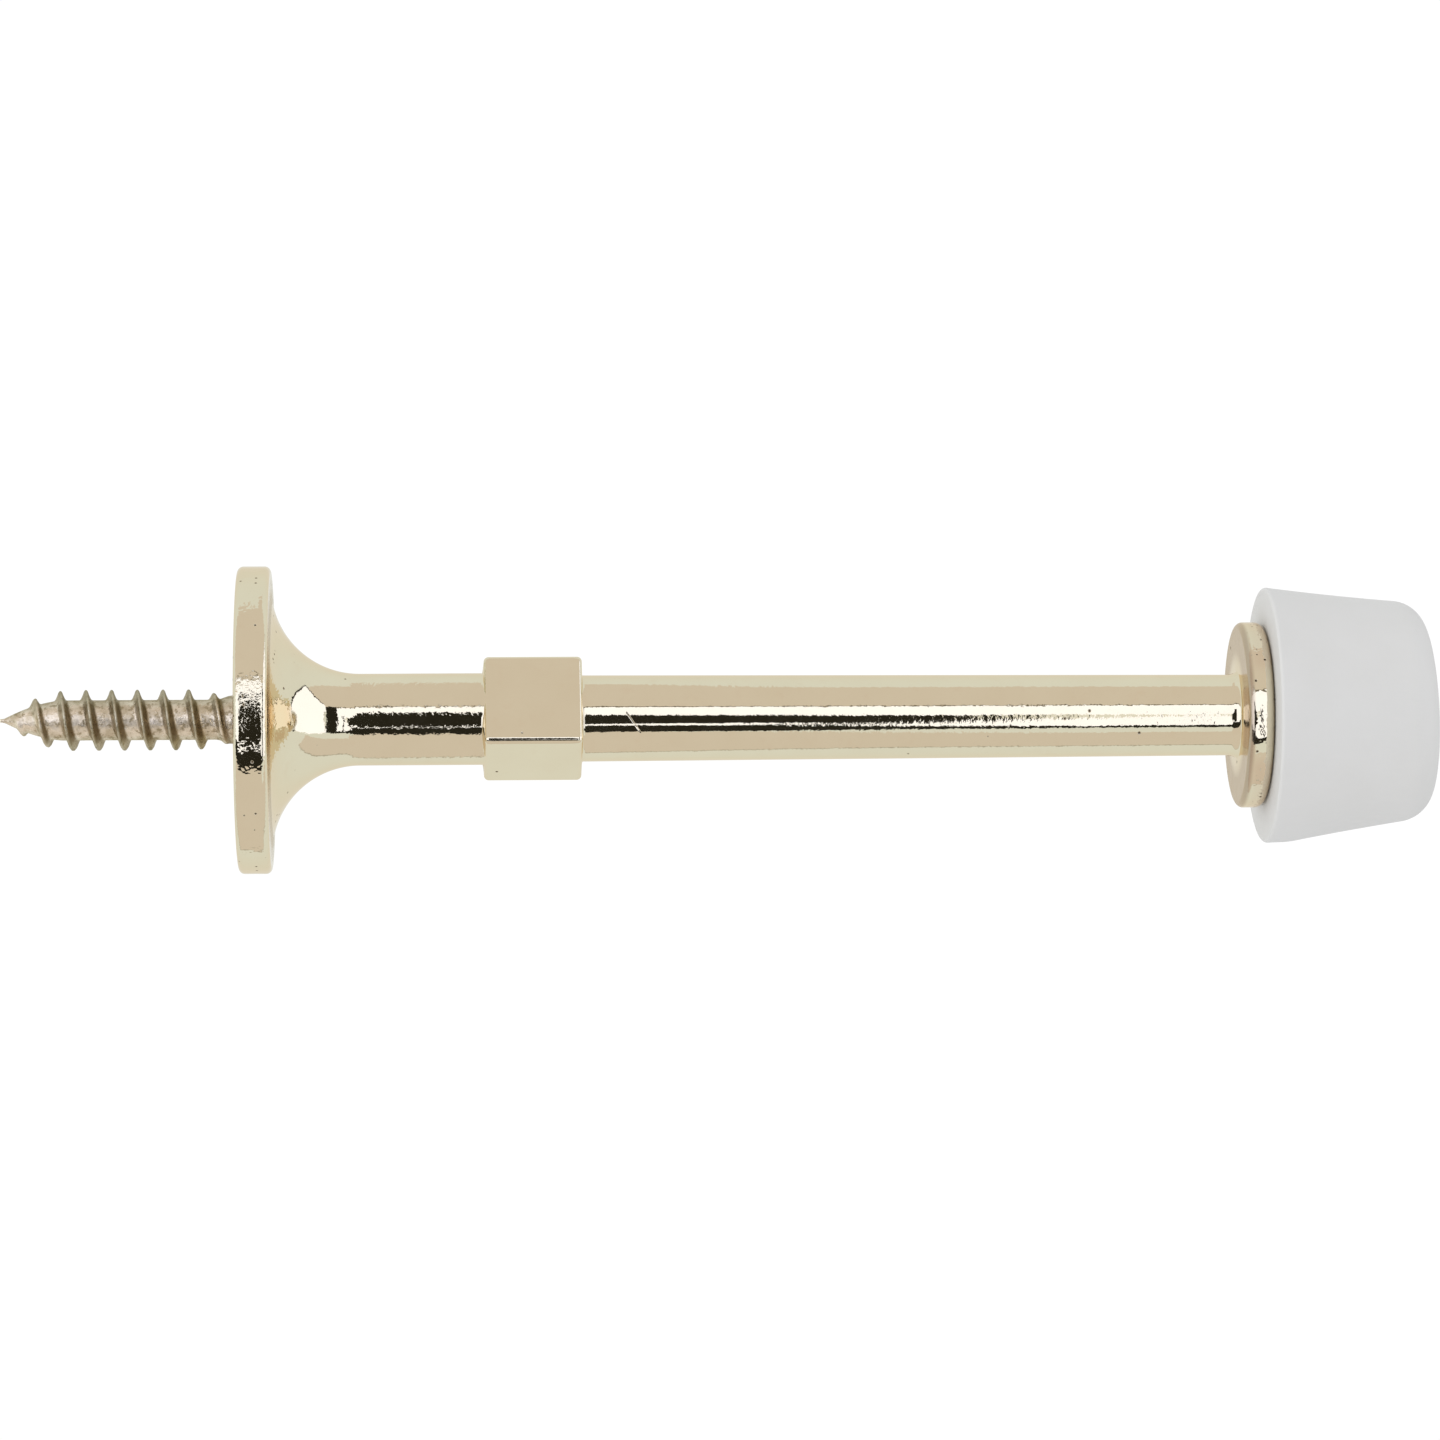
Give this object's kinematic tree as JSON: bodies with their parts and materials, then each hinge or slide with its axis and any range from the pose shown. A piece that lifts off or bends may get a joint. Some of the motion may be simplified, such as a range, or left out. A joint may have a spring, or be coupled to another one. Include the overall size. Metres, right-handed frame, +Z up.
{
  "type": "door stop",
  "caption": "Rigid wall-mounted door stop: a flared round base on a wood screw, a slim rod with square wrench flats, and a tapered rubber tip on a collar.",
  "frame": {"origin": "centre of the base's back face, which bears on the wall", "axes": "+X along the stop from the wall towards the door, +Z up with two wrench flats level"},
  "size_m": [0.095, 0.0204, 0.0204],
  "materials": {
    "plated_brass": "bright plating over a casting, with small pits",
    "screw_steel": "dull yellowed plating",
    "white_rubber": "matte moulded"
  },
  "bodies": {
    "stop": {"stop_body": "plated_brass", "mounting_screw": "screw_steel"},
    "bumper": {"rubber_tip": "white_rubber"}
  },
  "joints": [
    {"name": "tip_press", "type": "slide", "parent": "stop", "child": "bumper", "axis": [-1, 0, 0], "range_m": [0, 0.0015], "stiffness_N_per_m": 50000, "deforming": ["rubber_tip"]}
  ]
}
